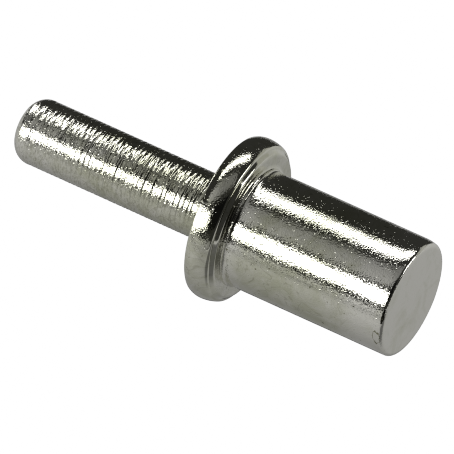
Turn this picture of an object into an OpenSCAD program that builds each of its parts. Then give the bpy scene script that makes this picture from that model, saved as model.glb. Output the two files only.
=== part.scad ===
// Stepped shelf support pin: one piece of steel bar, turned and nickel plated.
// The plug goes into a row hole in the cabinet side, the collar stops on the
// panel's face, and the shelf lies on the stud.
//
// The pin lies along X as it does in use. The origin is on its axis, in the
// panel's face: the plug runs towards -X, the collar and the stud towards +X.

/* [Plug] */
// Diameter over the plug's lands, which fill the row hole
plug_d = 5; // [4:0.1:7]
// Length of the plug from the panel's face to its tip
plug_len = 16.9; // [10:0.1:32]
// Radius of the rounded tip
tip_round = 1.4; // [0.2:0.1:1.8]

/* [Turned rings on the plug] */
// Distance from one ring to the next
ring_pitch = 0.38; // [0.32:0.02:1]
// Width of the groove between two lands
ring_groove_w = 0.24; // [0.08:0.02:0.28]
// Depth of the groove
ring_groove_depth = 0.03; // [0.01:0.01:0.1]
// Plain length left between the rings and the panel's face, and before the tip
ring_margin = 0.3; // [0.2:0.1:2]

/* [Collar] */
// Diameter of the collar, over the highest part of its rim
collar_d = 12.5; // [11.4:0.1:20]
// Thickness of the collar
collar_t = 2.25; // [1.4:0.05:5]
// Distance from the panel's face to the highest part of the bulged rim
rim_top = 0.8; // [0.5:0.05:0.9]
// How far the rim falls from there to its panel side
rim_back_fall = 0.24; // [0.05:0.01:0.4]
// How far the rim falls from there to its shelf side
rim_front_fall = 0.44; // [0.05:0.01:0.45]
// Radius of the rim's edge on the panel side
collar_back_round = 0.2; // [0.05:0.05:0.4]
// Radius of the rim's edge on the shelf side
collar_front_round = 0.25; // [0.05:0.05:0.4]

/* [Stud] */
// Diameter of the stud under the shelf
stud_d = 8.9; // [6:0.1:9.4]
// Length of the stud from the collar to its end
stud_len = 13.5; // [6:0.1:30]
// Radius of the fillet where the stud leaves the collar
root_fillet = 0.5; // [0.1:0.05:0.5]
// Radius of the edge round the stud's end
end_round = 0.3; // [0.1:0.05:1]

/* [Hidden] */

plug_r = plug_d / 2;
collar_r = collar_d / 2;
stud_r = stud_d / 2;
stud_end = collar_t + stud_len;
// Stretch of the plug that the rings fill, and how many fit there
ring_stretch = plug_len - tip_round - 2 * ring_margin;
ring_count = floor(ring_stretch / ring_pitch);
// Overlap that makes a cut or a joined shape run clear past its neighbour
past = 0.1;
// Sides of one full turn of the pin, and of a rounding in its section
turn_fn = 144;
round_fn = 64;
nickel = "#B4B3AA";

// The section is drawn as [radius, length along the pin] and then spun.

// Plain stretch of bar of radius r, from length a to length b
module bar(r, a, b) {
    translate([0, a]) square([r, b - a]);
}

// Metal that a rounding takes off an outer corner at radius r and length z.
// way is 1 where the corner faces the stud's end and -1 where it faces the tip.
module corner_waste(r, z, round_r, way) {
    translate([r - round_r, z - way * round_r])
        scale([1, way])
            difference() {
                square(round_r + past);
                circle(round_r, $fn = round_fn);
            }
}

// Metal that a fillet adds in the inner corner of a bar and a face above it
module corner_fillet(r, z, fillet_r) {
    translate([r + fillet_r, z + fillet_r])
        difference() {
            translate([-fillet_r - past, -fillet_r - past]) square(fillet_r + past);
            circle(fillet_r, $fn = round_fn);
        }
}

// One turned groove round the plug, with its bottom at length z
module ring_groove(z) {
    flare = (1 + past / ring_groove_depth) * ring_groove_w / 2;
    polygon([
        [plug_r - ring_groove_depth, z],
        [plug_r + past, z + flare],
        [plug_r + past, z - flare]
    ]);
}

module plug_section() {
    difference() {
        bar(plug_r, -plug_len, past);
        corner_waste(plug_r, -plug_len, tip_round, -1);
        for (i = [1 : ring_count])
            ring_groove(-ring_margin - (i - 0.5) * ring_pitch);
    }
}

// Radius of the arc that starts level at the rim's highest part and falls by
// fall over the length reach
function arc_radius(reach, fall) =
    (pow(reach, 2) + pow(fall, 2)) / (2 * fall);

// Radius at which a rounding of the rim's edge is centred, so that it runs
// smoothly into both the rim's arc and the collar's flat face
function edge_centre(arc_r, reach, round_r) = collar_r - arc_r
    + sqrt(pow(arc_r - round_r, 2) - pow(reach - round_r, 2));

// Distance from the rim's highest part to where its arc runs into that rounding
function arc_end(arc_r, reach, round_r) =
    (reach - round_r) * arc_r / (arc_r - round_r);

// One side of the bulged rim, from its highest part to its edge, with the edge
// rounded. way is 1 for the shelf side and -1 for the panel side.
module rim_side(reach, fall, round_r, way) {
    arc_r = arc_radius(reach, fall);
    edge_r = edge_centre(arc_r, reach, round_r);
    translate([0, rim_top])
        scale([1, way]) {
            intersection() {
                translate([collar_r - arc_r, 0]) circle(arc_r, $fn = turn_fn);
                bar(collar_r + past, 0, arc_end(arc_r, reach, round_r));
            }
            translate([edge_r, reach - round_r])
                circle(round_r, $fn = round_fn);
            bar(edge_r, 0, reach);
        }
}

module collar_section() {
    rim_side(rim_top, rim_back_fall, collar_back_round, -1);
    rim_side(collar_t - rim_top, rim_front_fall, collar_front_round, 1);
}

module stud_section() {
    difference() {
        bar(stud_r, collar_t - past, stud_end);
        corner_waste(stud_r, stud_end, end_round, 1);
    }
    corner_fillet(stud_r, collar_t, root_fillet);
}

module support_pin() {
    color(nickel)
        rotate([0, 90, 0])
            rotate_extrude($fn = turn_fn) {
                plug_section();
                collar_section();
                stud_section();
            }
}

support_pin();
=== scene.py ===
import math
import random

import bpy
from bpy.props import FloatProperty, FloatVectorProperty, IntProperty, PointerProperty
from mathutils import Matrix, Vector


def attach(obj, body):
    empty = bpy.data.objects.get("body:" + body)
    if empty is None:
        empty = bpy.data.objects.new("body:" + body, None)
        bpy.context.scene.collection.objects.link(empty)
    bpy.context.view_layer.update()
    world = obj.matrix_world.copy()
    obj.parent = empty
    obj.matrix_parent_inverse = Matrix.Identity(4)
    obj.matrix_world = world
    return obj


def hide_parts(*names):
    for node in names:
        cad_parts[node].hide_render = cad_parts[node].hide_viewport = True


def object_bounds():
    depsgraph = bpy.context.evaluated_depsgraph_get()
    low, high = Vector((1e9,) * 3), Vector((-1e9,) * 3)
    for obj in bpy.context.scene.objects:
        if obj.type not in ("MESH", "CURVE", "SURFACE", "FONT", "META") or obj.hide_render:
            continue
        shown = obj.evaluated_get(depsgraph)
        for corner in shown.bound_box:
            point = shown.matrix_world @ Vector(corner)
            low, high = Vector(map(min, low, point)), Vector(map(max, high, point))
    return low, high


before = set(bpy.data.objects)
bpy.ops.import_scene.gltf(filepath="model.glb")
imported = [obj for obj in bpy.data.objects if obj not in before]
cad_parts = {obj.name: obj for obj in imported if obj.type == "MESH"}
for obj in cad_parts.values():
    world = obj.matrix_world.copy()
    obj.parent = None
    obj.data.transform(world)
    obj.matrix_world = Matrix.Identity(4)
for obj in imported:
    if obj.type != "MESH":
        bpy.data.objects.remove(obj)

bl_info = {
    "name": "Stepped shelf pin",
    "version": (1, 0, 0),
    "blender": (4, 5, 0),
    "location": "View3D > Sidebar > Shelf pin",
    "description": "Turns one nickel plated shelf support pin and lays out a plain studio round it",
    "category": "Object",
}

MM = 0.001
CAD_LOW, CAD_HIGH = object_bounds()
PICTURE_SIDE = 454
SENSOR_WIDTH = 36.0
# Number of the Mix node's colour output
COLOUR_RESULT = 2

# ---------------------------------------------------------------- named values of the shape

# Two places this close are the same place, and a place this close to a plane lies on it
SAME_PLACE = 0.001 * MM
ON_PLANE = 0.01 * MM
# Rounds of vertices on the two flat ends, as shares of the flat's radius
TIP_ROUNDS = (0.5, 0.9)
END_ROUNDS = (0.97, 0.6, 0.3)
# How far the rings stop short of the tip's rounding and of the collar. The last length before the collar
# has the plug's full radius.
TIP_MARGIN = 0.1 * MM
COLLAR_MARGIN = 0.2 * MM
PLAIN_LENGTH = 0.12 * MM
# How far a ring strays from its place and how wide its half is, as shares of the pitch
RING_STRAY = 0.1
RING_HALF = (0.24, 0.36)
# How deep a ring is and how low the land beside it may lie, as shares of the ring depth
RING_DEEP = (0.45, 1.25)
LAND_LOW = 0.25
# A ring's flank bends at this share of its half width, where it has this share of its depth
BEND_WIDTH = 0.45
BEND_DEPTH = 0.7
# Slopes of the collar's front edge, in degrees away from the rim's level top
LIP_START = 22.0
LIP_END = 84.0
CHAMFER_SLOPE = 42.0
# Share of the first of the two hollows in the stud's turned root
ROOT_SHARE = 0.42
# The side of the stud's end that is worn: its direction, where it begins and how far the wear reaches
WORN_SIDE = (0.0, 0.797, 0.603)
WORN_BEYOND = 1.3 * MM
WORN_REACH = 0.9 * MM
# Slots of the finishes on the pin, and where the ringed one ends
BRIGHT, RINGED, SMOOTH = range(3)
RINGED_END = -0.05 * MM
# How far the smooth finish reaches on each side of the collar's face
FACE_BEHIND = 0.5 * MM
FACE_BEFORE = 0.1 * MM
# Edges sharper than this, in degrees, are shaded sharp
SMOOTH_ANGLE = 40.0

# ---------------------------------------------------------------- named values of the plate

# Amount of stain along the pin, from the plug's tip (0) to the stud's end (1)
STAIN_STOPS = ((0.0, 0.1), (0.12, 0.2), (0.24, 0.7), (0.48, 0.9), (0.52, 0.6), (0.58, 0.5), (0.6, 0.2),
               (0.64, 0.65), (0.7, 0.75), (0.83, 0.75), (0.92, 0.15), (0.95, 0.0))
STAIN_SIZE = 2.5 * MM
STAIN_UNEVEN = 1.4
# Lines left where the stain dried: half the noise between two lines, where in it a line comes in, and how
# strong the line gets
LINE_HALF_GAP = 0.08
LINE_EDGE = (0.072, 0.079)
LINE_STRENGTH = 0.45
LINE_COLOUR = "#77745F"
# Dull dashes on the rings: their width, how they are drawn out, the noise at which they come in, and how
# strong they get
DASH_SIZE = 0.12 * MM
DASH_SQUEEZE = (1.0, 0.35, 0.35)
DASH_WINDOW = (0.48, 0.68)
DASH_STRENGTH = 0.4
DASH_COLOUR = "#84836D"
# The nick on the stud's end edge: its middle, how far it reaches, the size of its ragged edge, its border
NICK_MIDDLE = (15.55 * MM, -3.95 * MM, 1.9 * MM)
NICK_REACH = (0.17 * MM, 0.9 * MM, 0.9 * MM)
NICK_RAGGED = 0.2 * MM
NICK_EDGE = (0.84, 0.94)
NICK_COLOUR = "#2A2922"
# The small lifted flake near it: its middle, how far it reaches, the size of its ragged edge, how far that
# edge strays, where its outline runs, and half of how wide the outline is
FLAKE_MIDDLE = (15.3 * MM, -4.45 * MM, -0.02 * MM)
FLAKE_REACH = (0.4 * MM, 0.9 * MM, 0.9 * MM)
FLAKE_RAGGED = 0.35 * MM
FLAKE_BEND = 1.3
FLAKE_LINE = 0.97
FLAKE_LINE_HALF = 0.06
FLAKE_COLOUR = "#85846C"
# Relief of the plate. A pair is (width, depth), and the grit is as wide as the finish's grain.
BRIGHT_GRIT_DEPTH = 0.013 * MM
RINGED_GRIT_DEPTH = 0.017 * MM
BRIGHT_PITS = (0.17 * MM, 0.014 * MM)
RINGED_PITS = (0.19 * MM, 0.014 * MM)
BRIGHT_SWELL = (1.1 * MM, 0.02 * MM)
SMOOTH_SWELL = (0.9 * MM, 0.008 * MM)
STREAKS = (0.24 * MM, 0.06 * MM)
STREAK_SQUEEZE = (1.0, 0.13, 0.13)
# Only noise between these two heights makes a pit
BRIGHT_PIT_WINDOW = (0.67, 0.83)
RINGED_PIT_WINDOW = (0.60, 0.80)

# ---------------------------------------------------------------- named values of the stage

# Width of the picture's pixel filter, which keeps the plate's fine speckle crisp
FILTER_WIDTH = 1.2
WHITE = "#FFFFFF"
WORLD_GREY = "#333331"
BACK_GREY = "#AFAFAA"
CLOTH_BLACK = "#121212"
FLOOR_Z = -0.08
FLOOR_SIDE = 4.0
FLOOR_DROP = 0.001
# Light of the floor as the plate mirrors it, from far away (0) to right under the pin (1)
SHADE_STOPS = ((0.0, 0.50), (0.10, 0.52), (0.38, 0.575), (0.58, 0.545), (0.76, 0.495), (0.82, 0.445),
               (0.88, 0.405), (0.94, 0.32), (1.0, 0.28))
SHADE_MIDDLE = (-0.025, 0.005, FLOOR_Z)
SHADE_REACH = (0.5, 0.5, 0.5)
# Dim patches of painted shade on the floor that the plate mirrors, the last one the pin's own shadow behind
# it:
# the middle, the turn in degrees, the reach, how much of it is the soft border, and how dim the rest is
FLOOR_PATCHES = (
    ((0.2, -0.4, FLOOR_Z), 0, (0.3, 0.6, 0.5), 0.35, 0.72),
    ((0.33, -0.24, FLOOR_Z), -35, (0.37, 0.15, 0.5), 0.12, 0.36),
    ((0.02, 0.045, FLOOR_Z), 0, (0.03, 0.05, 0.5), 0.45, 0.75),
    ((-0.030, 0.064, FLOOR_Z), 0, (0.048, 0.042, 0.5), 0.3, 0.06),
)
# The floor that the plate mirrors is two sheets: the name, the turn in degrees, where the far edge lies
# before that turn, and how much lower the sheet lies
BOUNCE_SIZE = (3.0, 1.5)
BOUNCE_SHEETS = (("bounce_floor", 75, 0.05, 0.0), ("bounce_floor_far", 0, 0.13, 0.0001))
# Places of the panels: the direction of the middle, then that of the long side. Both are given as right,
# up and towards the camera.
LEFT_PLACE = ((-0.891, 0.062, 0.449), (-0.42, 0.256, -0.871))
RIGHT_PLACE = ((0.935, 0.18, 0.24), (0.33, 0.3, -0.9))
TOP_PLACE = ((0.0, 0.965, 0.215), (0.95, 0.05, -0.30))
CEILING_PLACE = ((-0.227, 0.634, 0.771), (0.97, 0.06, -0.2))
BACK_PLACE = ((0.824, 0.496, -0.276), (-0.558, 0.622, -0.549))
CAMERA_PLACE = ((0.08, -0.05, 0.99), (1.0, 0.0, -0.08))
TIP_BOX_PLACE = ((-0.415, 0.845, -0.336), (-0.19, -0.327, -0.60))
TIP_CARD_PLACE = ((-0.767, 0.608, -0.204), (-0.2, -0.1, -0.97))
# How far the panels stand from the pin. The black cloths stand just behind their softboxes.
SOFTBOX_AWAY = 0.46
CLOTH_AWAY = 0.47
CARD_AWAY = 0.5
CAMERA_CLOTH_AWAY = 0.7
TIP_BOX_AWAY = 0.012
TIP_CARD_AWAY = 0.014
# What the two tip panels face on the rounded tip
TIP_BOX_FACES = (-16.3 * MM, -0.1 * MM, 2.3 * MM)
TIP_CARD_FACES = (-16.3 * MM, -1.0 * MM, 2.1 * MM)
# The front card: its two angles round the pin's axis, its distance, and its ends along the pin
FRONT_ANGLES = (170, 181)
FRONT_AWAY = 0.6
FRONT_ENDS = (-0.6, 0.3)


# ---------------------------------------------------------------- small helpers


def linear(hex_colour):
    """An sRGB hex colour as linear red, green, blue and full alpha."""
    value = hex_colour.lstrip("#")
    parts = [int(value[i:i + 2], 16) / 255 for i in (0, 2, 4)]
    light = [p / 12.92 if p <= 0.04045 else ((p + 0.055) / 1.055) ** 2.4 for p in parts]
    return (*light, 1.0)


def add_node(tree, kind, settings=None, values=None, links=None):
    """Adds one node, sets its settings and socket values, and links sockets of earlier nodes into it."""
    node = tree.nodes.new(kind)
    for name, value in (settings or {}).items():
        setattr(node, name, value)
    for socket, value in (values or {}).items():
        node.inputs[socket].default_value = value
    for socket, source in (links or {}).items():
        tree.links.new(source, node.inputs[socket])
    return node


def span(start, stop, to_start=0.0, to_stop=1.0):
    """Socket values of a Map Range node that takes start to to_start and stop to to_stop."""
    return {"From Min": start, "From Max": stop, "To Min": to_start, "To Max": to_stop}


def clear_tree(tree):
    for node in list(tree.nodes):
        tree.nodes.remove(node)


def new_material(name):
    material = bpy.data.materials.new(name)
    material.use_nodes = True
    clear_tree(material.node_tree)
    return material


def set_stops(ramp, stops):
    """Gives a colour ramp its grey stops, as (place, value) pairs."""
    ramp.elements.remove(ramp.elements[1])
    for i, (at, value) in enumerate(stops):
        stop = ramp.elements[0] if i == 0 else ramp.elements.new(at)
        stop.position = at
        stop.color = (value, value, value, 1.0)


def deselect_all():
    if bpy.context.object and bpy.context.object.mode != "OBJECT":
        bpy.ops.object.mode_set(mode="OBJECT")
    bpy.ops.object.select_all(action="DESELECT")


def pick(piece, wanted):
    """Selects the vertices for which wanted(place) is true, and nothing else, and enters edit mode."""
    bpy.ops.object.mode_set(mode="OBJECT")
    mesh = piece.data
    for part in (mesh.polygons, mesh.edges, mesh.vertices):
        part.foreach_set("select", [False] * len(part))
    for vertex in mesh.vertices:
        vertex.select = wanted(vertex.co)
    bpy.ops.object.mode_set(mode="EDIT")


def apply_place(piece):
    deselect_all()
    piece.select_set(True)
    bpy.context.view_layer.objects.active = piece
    bpy.ops.object.transform_apply(location=True, rotation=True, scale=True)


# ---------------------------------------------------------------- what a user may change


class PinSizes(bpy.types.PropertyGroup):
    plug_radius: FloatProperty(
        name="Plug radius", description="Radius over the plug's lands",
        default=2.5 * MM, unit="LENGTH")
    tip_round: FloatProperty(
        name="Tip rounding", description="Radius of the rounded tip",
        default=1.4 * MM, unit="LENGTH")
    ring_pitch: FloatProperty(
        name="Ring pitch", description="Distance from one turned ring to the next",
        default=0.38 * MM, unit="LENGTH")
    ring_depth: FloatProperty(
        name="Ring depth", description="Depth of the turned rings",
        default=0.03 * MM, unit="LENGTH")
    collar_thickness: FloatProperty(
        name="Collar thickness", description="Thickness of the collar",
        default=2.25 * MM, unit="LENGTH")
    rim_top: FloatProperty(
        name="Rim's highest place", description="Distance from the panel side to the rim's top",
        default=0.8 * MM, unit="LENGTH")
    rim_back_fall: FloatProperty(
        name="Rim fall, panel side", description="How far the rim falls to the panel side",
        default=0.24 * MM, unit="LENGTH")
    rim_front_fall: FloatProperty(
        name="Rim fall, shelf side", description="How far the rim's arc would fall to the shelf side",
        default=0.44 * MM, unit="LENGTH")
    collar_back_round: FloatProperty(
        name="Rim edge, panel side", description="Radius of the rim's edge by the panel",
        default=0.2 * MM, unit="LENGTH")
    collar_front_round: FloatProperty(
        name="Rim edge, shelf side", description="Radius that the rim's arc would run into on the shelf side",
        default=0.25 * MM, unit="LENGTH")
    lip_round: FloatProperty(
        name="Lip rounding", description="Radius of the lip between rim and chamfer",
        default=0.3 * MM, unit="LENGTH")
    chamfer: FloatProperty(
        name="Chamfer", description="Width of the chamfer between the lip and the collar's face",
        default=0.27 * MM, unit="LENGTH")
    collar_lean: FloatVectorProperty(
        name="Collar lean", description="Small turn of the upset collar out of square",
        size=3, default=(0.0, math.radians(-0.64), math.radians(0.85)), subtype="EULER")
    collar_shift: FloatVectorProperty(
        name="Collar shift", description="How far the collar sits off the pin's axis",
        size=3, default=(0.04 * MM, 0.09 * MM, 0.068 * MM), subtype="TRANSLATION")
    stud_radius: FloatProperty(
        name="Stud radius", description="Radius of the stud",
        default=4.45 * MM, unit="LENGTH")
    root_fillet: FloatProperty(
        name="Root length", description="Length of the two hollows where the stud leaves the collar",
        default=0.55 * MM, unit="LENGTH")
    root_height: FloatProperty(
        name="Root height", description="How far those hollows climb the collar's face",
        default=0.2 * MM, unit="LENGTH")
    end_shift: FloatVectorProperty(
        name="End shift", description="How far the worn side of the stud's end face is moved",
        size=3, default=(0.0, -0.12 * MM, -0.09 * MM), subtype="TRANSLATION")
    end_round: FloatProperty(
        name="End edge", description="Radius of the edge round the stud's end",
        default=0.3 * MM, unit="LENGTH")
    facets: IntProperty(
        name="Facets", description="Faces round the pin", default=240, min=24, max=360)


class PinFinish(bpy.types.PropertyGroup):
    nickel: FloatVectorProperty(
        name="Nickel", description="Colour of the clean plate, linear",
        size=4, default=linear("#DEDDD4"), min=0, max=1, subtype="COLOR")
    stained: FloatVectorProperty(
        name="Stained nickel", description="Colour of the stained plate, linear",
        size=4, default=linear("#C0C1AC"), min=0, max=1, subtype="COLOR")
    gloss_roughness: FloatProperty(
        name="Roughness", description="Roughness of the bright plate", default=0.07, min=0, max=1)
    ring_roughness: FloatProperty(
        name="Roughness on the rings", description="Roughness of the plate on the plug",
        default=0.12, min=0, max=1)
    grain: FloatProperty(
        name="Grain", description="Width of the plate's grain", default=0.12 * MM, unit="LENGTH")
    seed: IntProperty(name="Seed", description="Start of the uneven rings", default=5)


class StudioLook(bpy.types.PropertyGroup):
    azimuth: FloatProperty(
        name="Azimuth", description="Camera azimuth", default=math.radians(31.062), subtype="ANGLE")
    elevation: FloatProperty(
        name="Elevation", description="Camera elevation", default=math.radians(48.529), subtype="ANGLE")
    distance: FloatProperty(
        name="Camera distance", description="From the camera to the pin", default=1.0, unit="LENGTH")
    scale: FloatProperty(
        name="Picture scale", description="Picture points that one metre of the pin fills",
        default=13876.7)
    middle_right: FloatProperty(
        name="Middle, right", description="Picture's middle, right of the collar's seat",
        default=0.157 * MM, unit="LENGTH")
    middle_up: FloatProperty(
        name="Middle, up", description="Picture's middle, above the collar's seat",
        default=-0.846 * MM, unit="LENGTH")
    softbox_light: FloatProperty(
        name="Softbox light", description="Brightness of the softboxes", default=4.0)


def sizes():
    return bpy.context.scene.pin_sizes


def finish_values():
    return bpy.context.scene.pin_finish


def look():
    return bpy.context.scene.pin_look


# ---------------------------------------------------------------- camera


def camera_axes():
    """The camera's right, up and backward directions."""
    chosen = look()
    az, el = chosen.azimuth, chosen.elevation
    toward = Vector((math.sin(az) * math.cos(el), -math.cos(az) * math.cos(el), math.sin(el)))
    right = Vector((math.cos(az), math.sin(az), 0.0))
    return right, toward.cross(right), toward


class SHELFPIN_OT_camera(bpy.types.Operator):
    """Sets the camera above and in front of the stud's end"""
    bl_idname = "shelfpin.camera"
    bl_label = "Set the camera"

    def execute(self, context):
        chosen = look()
        right, up, toward = camera_axes()
        aim = right * chosen.middle_right + up * chosen.middle_up
        data = bpy.data.cameras.new("camera")
        data.sensor_width = SENSOR_WIDTH
        data.lens = chosen.scale * chosen.distance * SENSOR_WIDTH / PICTURE_SIDE
        data.clip_start = 0.05
        data.clip_end = 5.0
        camera = bpy.data.objects.new("camera", data)
        camera.location = aim + toward * chosen.distance
        camera.rotation_mode = "QUATERNION"
        camera.rotation_quaternion = (-toward).to_track_quat("-Z", "Y")
        context.scene.collection.objects.link(camera)
        context.scene.camera = camera
        return {"FINISHED"}


# ---------------------------------------------------------------- the pin's half section


def arc(centre_x, centre_r, reach_x, reach_r, start, stop, steps):
    """Points of an arc. 180 degrees faces the tip, 90 faces outwards and 0 faces the stud's end."""
    points = []
    for i in range(steps + 1):
        a = math.radians(start + (stop - start) * i / steps)
        points.append((centre_x + reach_x * math.cos(a), centre_r + reach_r * math.sin(a)))
    return points


def run(start, stop, steps):
    """Points of a straight line without its first one."""
    return [(start[0] + (stop[0] - start[0]) * i / steps, start[1] + (stop[1] - start[1]) * i / steps)
            for i in range(1, steps + 1)]


def ring_points(start, stop, radius, pitch, depth, rng):
    """Section of the uneven turned rings between two places along the plug."""
    count = int((stop - start) / pitch)
    points = []
    for i in range(count):
        x = start + (i + 0.5 + rng.uniform(-RING_STRAY, RING_STRAY)) * pitch
        deep = depth * rng.uniform(*RING_DEEP)
        half = pitch * rng.uniform(*RING_HALF)
        low = radius - depth * rng.uniform(0.0, LAND_LOW)
        points.append((x - half, low))
        points.append((x - half * BEND_WIDTH, radius - deep * BEND_DEPTH))
        points.append((x, radius - deep))
        points.append((x + half * BEND_WIDTH, radius - deep * BEND_DEPTH))
        points.append((x + half, radius - depth * rng.uniform(0.0, LAND_LOW)))
    return points


def fall_arc(reach, fall, edge):
    """An arc that leaves the rim's top level, falls by fall over reach and runs into a rounded edge.

    Gives the arc's radius, the rounding's centre over the arc's centre, and the angle where they meet.
    """
    arc_r = (reach ** 2 + fall ** 2) / (2 * fall)
    rise = math.sqrt((arc_r - edge) ** 2 - (reach - edge) ** 2)
    return arc_r, rise, math.degrees(math.atan2(reach - edge, rise))


def turn_on(start, slope, end_slope, radius, steps):
    """Points of a rounding that goes on from a place, from one slope to a steeper one."""
    a = math.radians(slope)
    centre = (start[0] - radius * math.sin(a), start[1] - radius * math.cos(a))
    return arc(*centre, radius, radius, 90 - slope, 90 - end_slope, steps)[1:]


def step_on(start, slope, length, steps):
    """Points of a straight flank of a given slope that goes on from a place."""
    a = math.radians(slope)
    return run(start, (start[0] + length * math.cos(a), start[1] - length * math.sin(a)), steps)


def closing_radius(place, thick):
    """Radius of the rounding that brings the chamfer's end level with the collar's face."""
    return (thick - place[0]) / (1 - math.sin(math.radians(CHAMFER_SLOPE)))


def rim_points(rim_r, s):
    """The rim from the panel side to the shelf side, and the place of the sharp line in it.

    Two arcs meet at the rim's top. The shelf side ends in a small rolled lip and a chamfer.
    """
    top, thick = s.rim_top, s.collar_thickness
    back, front = s.collar_back_round, s.collar_front_round
    arc_r, rise, meet = fall_arc(top, s.rim_back_fall, back)
    points = arc(back, rim_r - arc_r + rise, back, back, 180, 90 + meet, steps=6)
    points += arc(top, rim_r - arc_r, arc_r, arc_r, 90 + meet, 90, steps=10)[1:]
    arc_r = fall_arc(thick - top, s.rim_front_fall, front)[0]
    points += arc(top, rim_r - arc_r, arc_r, arc_r, 90, 90 - LIP_START, steps=14)[1:]
    points += turn_on(points[-1], LIP_START, LIP_END, s.lip_round, steps=7)
    crease = points[-1]
    points += step_on(crease, CHAMFER_SLOPE, s.chamfer, steps=4)
    points += turn_on(points[-1], CHAMFER_SLOPE, 90, closing_radius(points[-1], thick), steps=4)
    return points, crease


def root_points(front, s):
    """The turned root of the stud: two shallow hollows, one after the other, from the collar's face down."""
    first = s.root_fillet * ROOT_SHARE
    second = s.root_fillet - first
    drop = s.root_height * ROOT_SHARE
    root_r = s.stud_radius + s.root_height
    points = arc(front + first, root_r, first, drop, 180, 270, steps=8)
    points += arc(front + s.root_fillet, root_r - drop, second, s.root_height - drop, 180, 270, steps=8)[1:]
    return points


def half_section(s, rng):
    """The pin's outline from the tip's centre to the centre of the stud's end, and the rim's sharp line.

    All places are (x, radius).
    """
    tip_x = CAD_LOW.x
    end_x = CAD_HIGH.x
    front = s.collar_thickness
    tip_flat = s.plug_radius - s.tip_round
    points = [(tip_x, 0.0)] + [(tip_x, tip_flat * share) for share in TIP_ROUNDS]
    points += arc(tip_x + s.tip_round, tip_flat, s.tip_round, s.tip_round, 180, 90, steps=16)
    points += ring_points(tip_x + s.tip_round + TIP_MARGIN, -COLLAR_MARGIN,
                          s.plug_radius, s.ring_pitch, s.ring_depth, rng)
    points += [(-PLAIN_LENGTH, s.plug_radius), (0.0, s.plug_radius)]
    rim, crease = rim_points(-CAD_LOW.z, s)
    points += run((0.0, s.plug_radius), rim[0], steps=4)[:-1]
    points += rim
    root_r = s.stud_radius + s.root_height
    points += run(rim[-1], (front, root_r), steps=6)[:-1]
    points += root_points(front, s)
    root_end = (front + s.root_fillet, s.stud_radius)
    points += run(root_end, (end_x - s.end_round, s.stud_radius), steps=36)[:-1]
    flat = s.stud_radius - s.end_round
    points += arc(end_x - s.end_round, flat, s.end_round, s.end_round, 90, 0, steps=8)
    points += [(end_x, flat * share) for share in END_ROUNDS] + [(end_x, 0.0)]
    return points, crease


def trace(points):
    """Draws the points as one line of edges, extruded vertex by vertex from a corner of a plane."""
    side = 2 * MM
    corner = Vector((-side / 2, -side / 2, 0.0))
    deselect_all()
    bpy.ops.mesh.primitive_plane_add(size=side)
    piece = bpy.context.object
    x, r = points[0]
    pick(piece, lambda place: (place - corner).length > side / 2)
    bpy.ops.mesh.delete(type="VERT")
    bpy.ops.mesh.select_all(action="SELECT")
    bpy.ops.transform.translate(value=Vector((x, 0.0, r)) - corner)
    for nx, nr in points[1:]:
        bpy.ops.mesh.extrude_region_move(TRANSFORM_OT_translate={"value": (nx - x, 0.0, nr - r)})
        x, r = nx, nr
    return piece


def from_axis(place):
    return math.hypot(place.y, place.z)


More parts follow.
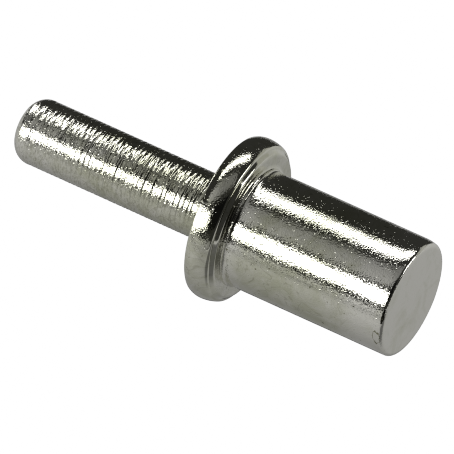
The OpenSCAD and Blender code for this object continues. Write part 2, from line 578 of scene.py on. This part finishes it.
class SHELFPIN_OT_pin(bpy.types.Operator):
    """Draws the pin's half section, spins it round the pin's axis and finishes the plated metal"""
    bl_idname = "shelfpin.pin"
    bl_label = "Turn the plated pin"

    def execute(self, context):
        s = sizes()
        rng = random.Random(finish_values().seed)
        outline, crease = half_section(s, rng)
        piece = trace(outline)
        piece.name = "plated_pin"
        piece.data.name = "plated_pin"
        bpy.ops.mesh.select_all(action="SELECT")
        bpy.ops.mesh.spin(steps=s.facets, angle=math.tau, center=(0, 0, 0), axis=(1, 0, 0))
        bpy.ops.mesh.select_all(action="SELECT")
        bpy.ops.mesh.remove_doubles(threshold=SAME_PLACE)
        bpy.ops.mesh.normals_make_consistent(inside=False)
        self.crease_lip(piece, crease)
        self.lean_collar(piece, s)
        self.wear_end(piece, s)
        bpy.ops.object.mode_set(mode="OBJECT")
        bpy.ops.object.shade_smooth_by_angle(angle=math.radians(SMOOTH_ANGLE))
        apply_place(piece)
        for material in (bright_nickel(), ringed_nickel(), smooth_nickel()):
            piece.data.materials.append(material)
        for face in piece.data.polygons:
            face.material_index = self.finish_of(face.center, s)
        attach(piece, "root")
        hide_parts("support_pin")
        return {"FINISHED"}

    def finish_of(self, place, s):
        """The plug is ringed, the collar's front and the stud's end are smooth, and the rest is bright."""
        if place.x < RINGED_END:
            return RINGED
        front = s.collar_thickness
        outside_root = from_axis(place) > s.stud_radius + s.root_height
        on_face = front - FACE_BEHIND < place.x < front + FACE_BEFORE and outside_root
        on_end = place.x > CAD_HIGH.x - ON_PLANE
        return SMOOTH if on_face or on_end else BRIGHT

    def crease_lip(self, piece, crease):
        """The lip ends in a sharp line where the chamfer begins."""
        x, r = crease
        pick(piece, lambda place: abs(place.x - x) < SAME_PLACE and abs(from_axis(place) - r) < SAME_PLACE)
        bpy.ops.mesh.mark_sharp()

    def lean_collar(self, piece, s):
        """The collar is upset from the bar, so it sits a hair off centre and out of square."""
        middle = s.collar_thickness / 2
        root_r = s.stud_radius + s.root_height - ON_PLANE
        bar_r = s.plug_radius + ON_PLANE
        pick(piece, lambda place: -ON_PLANE < place.x < s.collar_thickness + ON_PLANE
             and from_axis(place) > (root_r if place.x > middle else bar_r))
        for axis, turn in (("Y", s.collar_lean[1]), ("Z", s.collar_lean[2])):
            bpy.ops.transform.rotate(value=-turn, orient_axis=axis, orient_type="GLOBAL",
                                     center_override=(middle, 0.0, 0.0))
        bpy.ops.transform.translate(value=s.collar_shift)

    def wear_end(self, piece, s):
        """The edge of the stud's end is worn further on one side, so the flat face ends sooner there."""
        worn_side = Vector(WORN_SIDE)
        pick(piece, lambda place: place.x > CAD_HIGH.x - SAME_PLACE and place.dot(worn_side) > WORN_BEYOND)
        bpy.ops.transform.translate(value=s.end_shift, use_proportional_edit=True,
                                    proportional_edit_falloff="SMOOTH", proportional_size=WORN_REACH)


# ---------------------------------------------------------------- nickel


def bump(tree, place, width, depth, squeeze=None, window=None, below=None):
    """Noise relief of a given width and depth, laid over an earlier relief.

    squeeze draws the relief out along the directions whose factor is small. window keeps only its high spots.
    """
    if squeeze:
        drawn = add_node(tree, "ShaderNodeMapping", None, {"Scale": squeeze}, {"Vector": place})
        place = drawn.outputs["Vector"]
    noise = add_node(tree, "ShaderNodeTexNoise", None, {"Scale": 1 / width, "Detail": 1.0, "Roughness": 0.5},
                     {"Vector": place})
    height = noise.outputs["Fac"]
    if window:
        cut = add_node(tree, "ShaderNodeMapRange", None, span(*window), {"Value": height})
        height = cut.outputs["Result"]
    links = {"Height": height}
    if below:
        links["Normal"] = below
    relief = add_node(tree, "ShaderNodeBump", None, {"Strength": 1.0, "Distance": depth}, links)
    return relief.outputs["Normal"]


def plate_colour(tree, place):
    """Nickel with a faint yellow-green stain: cloudy, strongest in the middle of the plug and of the stud."""
    f = finish_values()
    parts = add_node(tree, "ShaderNodeSeparateXYZ", None, None, {"Vector": place})
    along = add_node(tree, "ShaderNodeMapRange", None, span(CAD_LOW.x, CAD_HIGH.x),
                     {"Value": parts.outputs["X"]})
    bands = add_node(tree, "ShaderNodeValToRGB", None, None, {"Fac": along.outputs["Result"]})
    set_stops(bands.color_ramp, STAIN_STOPS)
    cloud = add_node(tree, "ShaderNodeTexNoise", None,
                     {"Scale": 1 / STAIN_SIZE, "Detail": 5.0, "Roughness": 0.72, "Distortion": 0.6},
                     {"Vector": place})
    uneven = add_node(tree, "ShaderNodeMapRange", {"clamp": False},
                      span(0.0, 1.0, -STAIN_UNEVEN, STAIN_UNEVEN), {"Value": cloud.outputs["Fac"]})
    amount = add_node(tree, "ShaderNodeMath", {"operation": "ADD", "use_clamp": True}, None,
                      {0: bands.outputs["Color"], 1: uneven.outputs["Result"]})
    mix = add_node(tree, "ShaderNodeMix", {"data_type": "RGBA"}, {"A": f.nickel, "B": f.stained},
                   {"Factor": amount.outputs["Value"]})
    return stain_lines(tree, place, mix.outputs[COLOUR_RESULT], bands.outputs["Color"])


def stain_lines(tree, place, colour, where):
    """Thin brown lines where the stain dried, along the borders of its clouds."""
    cloud = add_node(tree, "ShaderNodeTexNoise", None,
                     {"Scale": 1 / STAIN_SIZE, "Detail": 2.0, "Roughness": 0.55, "Distortion": 0.8},
                     {"Vector": place})
    steps = add_node(tree, "ShaderNodeMath", {"operation": "PINGPONG"}, {1: LINE_HALF_GAP},
                     {0: cloud.outputs["Fac"]})
    thin = add_node(tree, "ShaderNodeMapRange", None, span(*LINE_EDGE, 0.0, LINE_STRENGTH),
                    {"Value": steps.outputs["Value"]})
    amount = add_node(tree, "ShaderNodeMath", {"operation": "MULTIPLY"}, None,
                      {0: thin.outputs["Result"], 1: where})
    mix = add_node(tree, "ShaderNodeMix", {"data_type": "RGBA"}, {"B": linear(LINE_COLOUR)},
                   {"Factor": amount.outputs["Value"], "A": colour})
    return mix.outputs[COLOUR_RESULT]


def dashed(tree, place, colour):
    """Short dull dashes along the rings, where the plate lies thin over the tool's marks."""
    drawn = add_node(tree, "ShaderNodeMapping", None, {"Scale": DASH_SQUEEZE}, {"Vector": place})
    marks = add_node(tree, "ShaderNodeTexNoise", None, {"Scale": 1 / DASH_SIZE, "Detail": 1.0},
                     {"Vector": drawn.outputs["Vector"]})
    dull = add_node(tree, "ShaderNodeMapRange", None, span(*DASH_WINDOW, 0.0, DASH_STRENGTH),
                    {"Value": marks.outputs["Fac"]})
    mix = add_node(tree, "ShaderNodeMix", {"data_type": "RGBA"}, {"B": linear(DASH_COLOUR)},
                   {"Factor": dull.outputs["Result"], "A": colour})
    return mix.outputs[COLOUR_RESULT]


def oval_fade(tree, place, centre, reach, turn=0):
    """1 in the middle of an oval, falling to 0 at its border. turn is in degrees about Z."""
    near = add_node(tree, "ShaderNodeMapping", {"vector_type": "TEXTURE"},
                    {"Location": centre, "Rotation": (0, 0, math.radians(turn)), "Scale": reach},
                    {"Vector": place})
    fade = add_node(tree, "ShaderNodeTexGradient", {"gradient_type": "SPHERICAL"}, None,
                    {"Vector": near.outputs["Vector"]})
    return fade.outputs["Fac"]


def flaked(tree, place, colour):
    """The thin dull outline of a small place where the plate has lifted."""
    fade = oval_fade(tree, place, FLAKE_MIDDLE, FLAKE_REACH)
    rough = add_node(tree, "ShaderNodeTexNoise", None, {"Scale": 1 / FLAKE_RAGGED, "Detail": 3.0},
                     {"Vector": place})
    bent = add_node(tree, "ShaderNodeMath", {"operation": "MULTIPLY"}, {1: FLAKE_BEND},
                    {0: rough.outputs["Fac"]})
    both = add_node(tree, "ShaderNodeMath", {"operation": "ADD"}, None, {0: fade, 1: bent.outputs["Value"]})
    line = add_node(tree, "ShaderNodeMath", {"operation": "COMPARE"}, {1: FLAKE_LINE, 2: FLAKE_LINE_HALF},
                    {0: both.outputs["Value"]})
    mix = add_node(tree, "ShaderNodeMix", {"data_type": "RGBA"}, {"B": linear(FLAKE_COLOUR)},
                   {"Factor": line.outputs["Value"], "A": colour})
    return mix.outputs[COLOUR_RESULT]


def nicked(tree, place, colour):
    """A dark ragged nick in the plate on the edge of the stud's end."""
    fade = oval_fade(tree, place, NICK_MIDDLE, NICK_REACH)
    rough = add_node(tree, "ShaderNodeTexNoise", None, {"Scale": 1 / NICK_RAGGED, "Detail": 2.0},
                     {"Vector": place})
    both = add_node(tree, "ShaderNodeMath", {"operation": "ADD"}, None, {0: fade, 1: rough.outputs["Fac"]})
    cut = add_node(tree, "ShaderNodeMapRange", None, span(*NICK_EDGE), {"Value": both.outputs["Value"]})
    mix = add_node(tree, "ShaderNodeMix", {"data_type": "RGBA"}, {"B": linear(NICK_COLOUR)},
                   {"Factor": cut.outputs["Result"], "A": colour})
    return mix.outputs[COLOUR_RESULT]


def marked_colour(tree, place):
    """The plate's colour with the nick and the flake near the stud's end."""
    return flaked(tree, place, nicked(tree, place, plate_colour(tree, place)))


def dashed_colour(tree, place):
    """The plate's colour with the dull dashes on the plug."""
    return dashed(tree, place, plate_colour(tree, place))


def plated(name, roughness, colouring, layers):
    """One finish of the plate, with its layers of relief from the lowest up."""
    material = new_material(name)
    tree = material.node_tree
    place = add_node(tree, "ShaderNodeTexCoord").outputs["Object"]
    relief = None
    for layer in layers:
        relief = bump(tree, place, *layer, below=relief)
    shader = add_node(tree, "ShaderNodeBsdfPrincipled", None, {"Metallic": 1.0, "Roughness": roughness},
                      {"Base Color": colouring(tree, place), "Normal": relief})
    add_node(tree, "ShaderNodeOutputMaterial", None, None, {"Surface": shader.outputs["BSDF"]})
    return material


def bright_nickel():
    """Bright nickel plate over turned steel: a mirror with a very fine orange peel and a few tiny pits."""
    f = finish_values()
    grit = (f.grain, BRIGHT_GRIT_DEPTH)
    layers = (grit, (*BRIGHT_PITS, None, BRIGHT_PIT_WINDOW), BRIGHT_SWELL)
    return plated("bright_nickel_plate", f.gloss_roughness, marked_colour, layers)


def smooth_nickel():
    """The same plate where the tool's wide cutting edge left the steel smooth: a calm, even mirror."""
    f = finish_values()
    return plated("smooth_nickel_plate", f.gloss_roughness, plate_colour, (SMOOTH_SWELL,))


def ringed_nickel():
    """The same plate over the coarse turned rings of the plug: streaky, gritty and rougher."""
    f = finish_values()
    grit = (f.grain, RINGED_GRIT_DEPTH)
    layers = ((*STREAKS, STREAK_SQUEEZE), grit, (*RINGED_PITS, None, RINGED_PIT_WINDOW))
    return plated("ringed_nickel_plate", f.ring_roughness, dashed_colour, layers)


# ---------------------------------------------------------------- stage


def end_in_glow(tree, values, links=None):
    """Ends a material's tree in a light of its own."""
    light = add_node(tree, "ShaderNodeEmission", None, values, links)
    add_node(tree, "ShaderNodeOutputMaterial", None, None, {"Surface": light.outputs["Emission"]})


def glow(name, hex_colour, strength=1.0):
    """A cloth or card with an even light, which the plate mirrors as one flat tone."""
    material = new_material(name)
    end_in_glow(material.node_tree, {"Color": linear(hex_colour), "Strength": strength})
    return material


def faded_glow(name, turn, start, stop):
    """A card whose light fades along +X turned by the given angles, between two (place, light) pairs."""
    material = new_material(name)
    tree = material.node_tree
    place = add_node(tree, "ShaderNodeTexCoord")
    turned = add_node(tree, "ShaderNodeMapping", {"vector_type": "TEXTURE"}, {"Rotation": turn},
                      {"Vector": place.outputs["Object"]})
    parts = add_node(tree, "ShaderNodeSeparateXYZ", None, None, {"Vector": turned.outputs["Vector"]})
    ramp = add_node(tree, "ShaderNodeMapRange", None, span(start[0], stop[0], start[1], stop[1]),
                    {"Value": parts.outputs["X"]})
    end_in_glow(tree, None, {"Strength": ramp.outputs["Result"]})
    return material


def dim_patch(tree, place, centre, turn, reach, soft, dimmest):
    """A factor that falls from 1 to dimmest inside an oval patch, with a soft border."""
    fade = oval_fade(tree, place, centre, reach, turn)
    dimmed = add_node(tree, "ShaderNodeMapRange", None, span(0.0, soft, 1.0, dimmest), {"Value": fade})
    return dimmed.outputs["Result"]


def shaded_floor(name):
    """The floor as the plate mirrors it, with the pin's soft shade under it."""
    material = new_material(name)
    tree = material.node_tree
    place = add_node(tree, "ShaderNodeTexCoord").outputs["Object"]
    fade = oval_fade(tree, place, SHADE_MIDDLE, SHADE_REACH)
    ramp = add_node(tree, "ShaderNodeValToRGB", None, None, {"Fac": fade})
    set_stops(ramp.color_ramp, SHADE_STOPS)
    strength = None
    # Painted shade: each patch darkens the mirrored floor's light, the last one standing for the pin's own
    # shadow behind it
    for patch in FLOOR_PATCHES:
        dimmed = dim_patch(tree, place, *patch)
        if strength:
            both = add_node(tree, "ShaderNodeMath", {"operation": "MULTIPLY"}, None, {0: strength, 1: dimmed})
            dimmed = both.outputs["Value"]
        strength = dimmed
    end_in_glow(tree, None, {"Color": ramp.outputs["Color"], "Strength": strength})
    return material


def sheet(name, size, location, turn, material, seen=False):
    """A flat rectangle of the stage. Unless it is seen, only the plate's reflections show it."""
    deselect_all()
    bpy.ops.mesh.primitive_plane_add(size=1.0, location=location, rotation=turn)
    piece = bpy.context.object
    piece.name = name
    piece.scale = (*size, 1.0)
    apply_place(piece)
    piece.data.materials.append(material)
    piece.visible_camera = seen
    return piece


def card(name, angles, distance, ends, material):
    """A card seen from the pin between two angles round the pin's axis, from +Y upwards."""
    start, stop = angles
    low_x, high_x = ends
    middle = math.radians((start + stop) / 2)
    half = math.radians((stop - start) / 2)
    height = 2 * distance * math.tan(half)
    centre = Vector(((low_x + high_x) / 2, distance * math.cos(middle), distance * math.sin(middle)))
    sheet(name, (high_x - low_x, height), centre, (middle + math.pi / 2, 0.0, 0.0), material)


def seen_from_camera(right, up, toward):
    """A direction given by what is right, up and towards the camera, in the pin's own axes."""
    axes = camera_axes()
    return (axes[0] * right + axes[1] * up + axes[2] * toward).normalized()


def panel(name, place, length, width, material, distance=CARD_AWAY, faces=(0.0, 0.0, 0.0)):
    """A panel that faces a point from its place. Its length and width are those of a panel one metre away."""
    out = seen_from_camera(*place[0])
    side = seen_from_camera(*place[1])
    side = (side - out * side.dot(out)).normalized()
    turn = Matrix((side, out.cross(side), out)).transposed()
    middle = Vector(faces) + out * distance
    sheet(name, (length * distance, width * distance), middle, turn.to_euler(), material)


class SHELFPIN_OT_stage(bpy.types.Operator):
    """Lays out the white floor, the softboxes and the cards that the plate mirrors"""
    bl_idname = "shelfpin.stage"
    bl_label = "Lay out the stage"

    def execute(self, context):
        scene = context.scene
        scene.view_settings.view_transform = "Standard"
        scene.view_settings.look = "None"
        # The plate's speckle is as fine as the noise that a denoiser removes.
        scene.cycles.use_denoising = False
        scene.cycles.filter_width = FILTER_WIDTH
        self.light_world(scene)
        self.hang_panels()
        self.lay_floor()
        return {"FINISHED"}

    def light_world(self, scene):
        """A world that is white to the camera and dark grey to the plate."""
        world = bpy.data.worlds.new("studio")
        scene.world = world
        world.use_nodes = True
        tree = world.node_tree
        clear_tree(tree)
        ray = add_node(tree, "ShaderNodeLightPath")
        dark = add_node(tree, "ShaderNodeBackground", None, {"Color": linear(WORLD_GREY), "Strength": 1.0})
        white = add_node(tree, "ShaderNodeBackground", None, {"Color": linear(WHITE), "Strength": 1.0})
        mix = add_node(tree, "ShaderNodeMixShader", None, None,
                       {0: ray.outputs["Is Camera Ray"], 1: dark.outputs["Background"],
                        2: white.outputs["Background"]})
        add_node(tree, "ShaderNodeOutputWorld", None, None, {"Surface": mix.outputs["Shader"]})

    def hang_panels(self):
        """The softboxes, the black cloths round them, and the grey cards."""
        chosen = look()
        box_light = glow("softbox_cloth", WHITE, chosen.softbox_light)
        panel("softbox_left", LEFT_PLACE, 1.5, 0.42, box_light, SOFTBOX_AWAY)
        panel("softbox_right", RIGHT_PLACE, 0.45, 0.25, box_light, SOFTBOX_AWAY)
        panel("softbox_top", TOP_PLACE, 1.05, 0.21, box_light, SOFTBOX_AWAY)
        grey = faded_glow("ceiling_grey", (0.0, 0.0, chosen.azimuth), (-0.30, 0.44), (-0.08, 0.21))
        panel("ceiling_card", CEILING_PLACE, 1.29, 0.48, grey)
        black = glow("black_cloth", CLOTH_BLACK)
        panel("edge_left", LEFT_PLACE, 1.62, 0.60, black, CLOTH_AWAY)
        panel("edge_top", TOP_PLACE, 1.17, 0.36, black, CLOTH_AWAY)
        # Two small panels stand close to the plug's rounded tip, so that only the tip mirrors them.
        tip_grey = faded_glow("tip_grey", (0.0, -math.pi / 2, 0.0), (0.0, 0.011), (0.015, 0.3))
        panel("tip_softbox", TIP_BOX_PLACE, 0.66, 0.38, box_light, TIP_BOX_AWAY, TIP_BOX_FACES)
        panel("tip_card", TIP_CARD_PLACE, 1.0, 0.62, tip_grey, TIP_CARD_AWAY, TIP_CARD_FACES)
        back_grey = glow("back_grey", BACK_GREY)
        panel("back_card", BACK_PLACE, 0.79, 0.36, back_grey)
        panel("camera_cloth", CAMERA_PLACE, 0.9, 0.75, black, CAMERA_CLOTH_AWAY)
        front_grey = faded_glow("front_grey", (0.0, 0.0, 0.0), (-0.15, 0.62), (0.2, 0.28))
        card("front_card", FRONT_ANGLES, FRONT_AWAY, FRONT_ENDS, front_grey)

    def lay_floor(self):
        """The sheets that the plate mirrors, and the plain white floor that the camera sees."""
        floor_grey = shaded_floor("floor_grey")
        for name, turn, edge, drop in BOUNCE_SHEETS:
            middle = (0, edge - BOUNCE_SIZE[1] / 2, FLOOR_Z - drop)
            bounce = sheet(name, BOUNCE_SIZE, middle, (0.0, 0.0, 0.0), floor_grey)
            bounce.rotation_euler = (0, 0, math.radians(turn))
            apply_place(bounce)
        middle = (0, 0, FLOOR_Z - FLOOR_DROP)
        floor_white = glow("floor_white", WHITE)
        floor = sheet("floor", (FLOOR_SIDE, FLOOR_SIDE), middle, (0.0, 0.0, 0.0), floor_white, seen=True)
        floor.visible_glossy = False


class SHELFPIN_PT_panel(bpy.types.Panel):
    """Lists the steps in the order they run"""
    bl_idname = "SHELFPIN_PT_panel"
    bl_label = "Shelf pin"
    bl_space_type = "VIEW_3D"
    bl_region_type = "UI"
    bl_category = "Shelf pin"

    def draw(self, context):
        for step in STEPS:
            self.layout.operator(step.bl_idname)


GROUPS = {"pin_sizes": PinSizes, "pin_finish": PinFinish, "pin_look": StudioLook}
STEPS = (SHELFPIN_OT_camera, SHELFPIN_OT_pin, SHELFPIN_OT_stage)


def register():
    for name, group in GROUPS.items():
        bpy.utils.register_class(group)
        setattr(bpy.types.Scene, name, PointerProperty(type=group))
    for step in STEPS:
        bpy.utils.register_class(step)
    bpy.utils.register_class(SHELFPIN_PT_panel)


def unregister():
    bpy.utils.unregister_class(SHELFPIN_PT_panel)
    for step in reversed(STEPS):
        bpy.utils.unregister_class(step)
    for name, group in GROUPS.items():
        delattr(bpy.types.Scene, name)
        bpy.utils.unregister_class(group)


def main():
    register()
    bpy.ops.shelfpin.camera()
    bpy.ops.shelfpin.pin()
    bpy.ops.shelfpin.stage()


if __name__ == "__main__":
    main()
